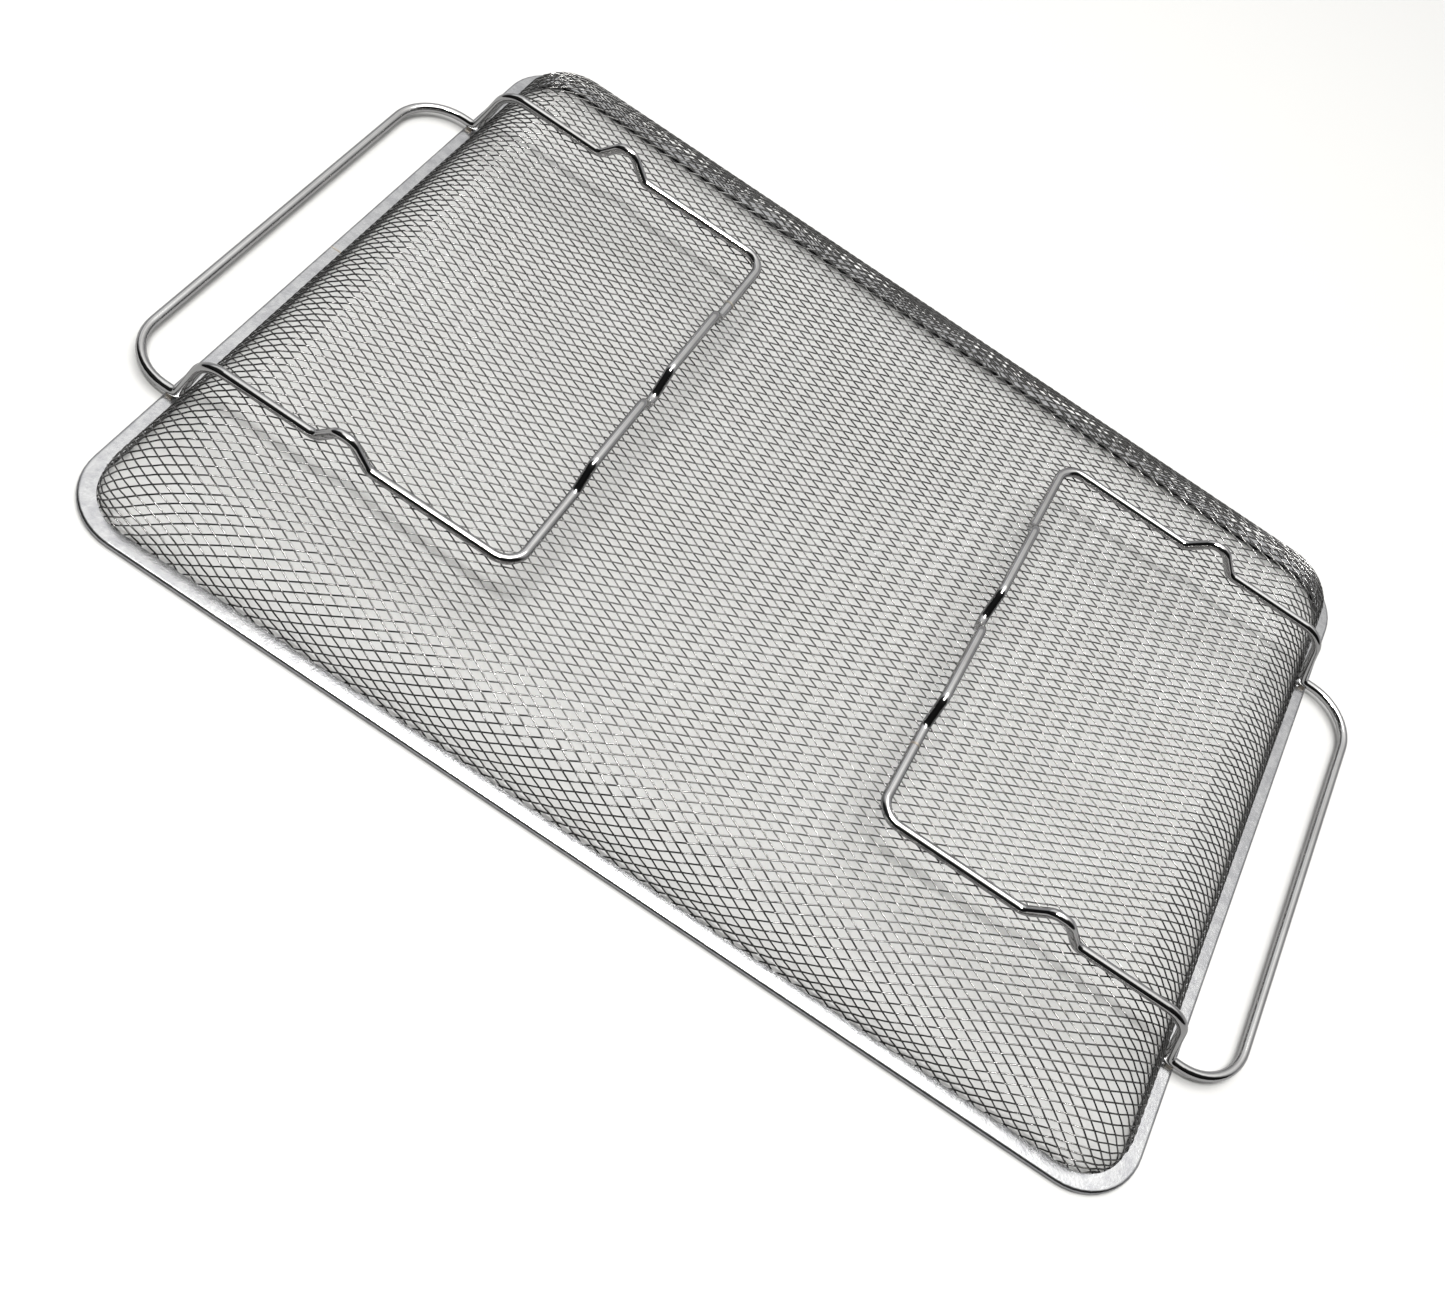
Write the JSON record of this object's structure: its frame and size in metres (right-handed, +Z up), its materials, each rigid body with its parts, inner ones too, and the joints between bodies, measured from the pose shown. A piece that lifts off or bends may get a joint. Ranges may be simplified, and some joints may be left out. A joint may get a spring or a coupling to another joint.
{
  "type": "mesh grill basket",
  "caption": "Shallow rectangular tray of woven wire cloth in a folded steel rim, with two bent wire loops as handles, rails and raised feet, standing upside down on its rim.",
  "frame": {"origin": "middle of the plane that the upside-down basket rests on, under the centre of the rim", "axes": "the basket stands upside down on its rim, as pictured: +Z up, out of the basket's underside; +X along the long sides, towards one handle; +Y along the short sides"},
  "size_m": [0.4436, 0.3, 0.0391],
  "materials": {
    "rim_steel": "satin",
    "cloth_steel": "bright drawn wire",
    "loop_steel": "polished",
    "weld_steel": "heat-tinted"
  },
  "bodies": {
    "root": {"rim_strip": "rim_steel", "rim_seam_weld": "weld_steel", "mesh_warp_wires": "cloth_steel", "mesh_weft_wires": "cloth_steel", "handle_wire_left": "loop_steel", "handle_wire_right": "loop_steel", "wire_butt_welds": "weld_steel", "rim_spot_welds": "weld_steel"}
  },
  "joints": []
}
